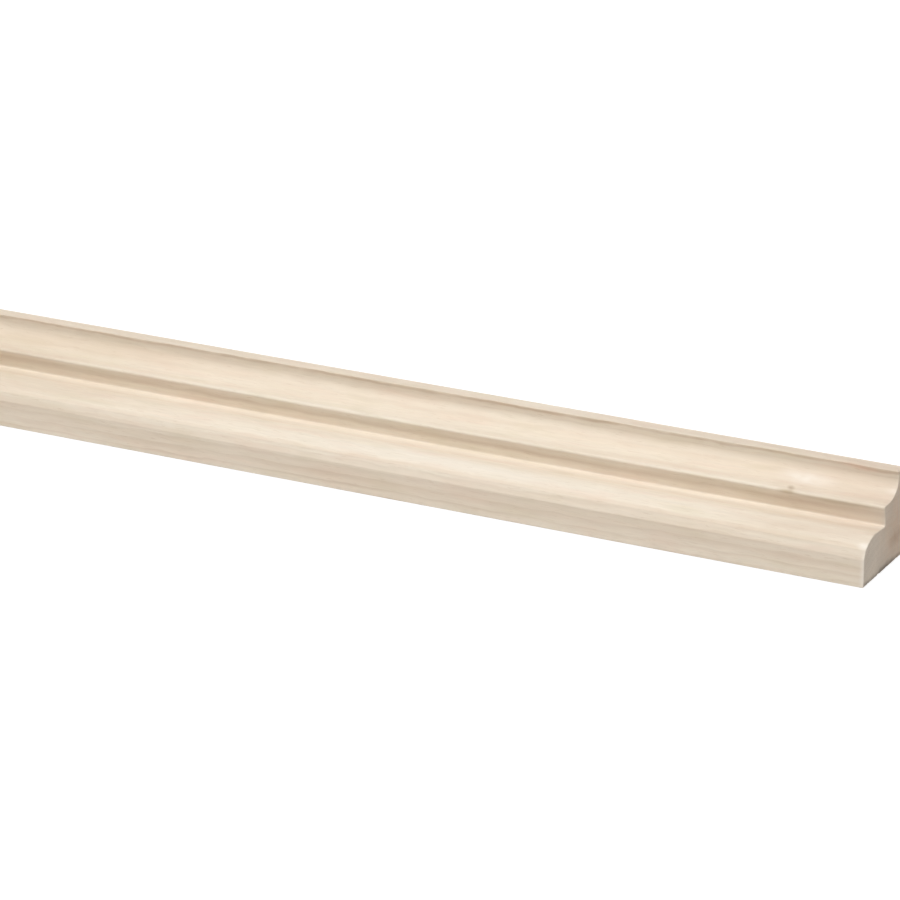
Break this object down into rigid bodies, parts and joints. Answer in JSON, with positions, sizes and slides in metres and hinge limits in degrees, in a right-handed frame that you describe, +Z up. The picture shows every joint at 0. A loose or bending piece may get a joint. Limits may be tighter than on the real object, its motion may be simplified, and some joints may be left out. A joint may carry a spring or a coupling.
{
  "type": "cornice moulding",
  "caption": "Length of small bare-timber cornice moulding: flat face, chamfer, low ovolo, hollow riser, cove and top band on a flat base and back, to trim the line where a wall meets a ceiling or a cabinet top",
  "frame": {"origin": "under the middle of the stock, on the flat base, at half the section's depth", "axes": "X runs along the stock, Y from the moulded side to the flat back, Z up from the flat base"},
  "size_m": [2.4, 0.033, 0.03],
  "materials": {
    "bare_timber": "matte"
  },
  "bodies": {
    "root": {"cornice_moulding": "bare_timber"}
  },
  "joints": []
}
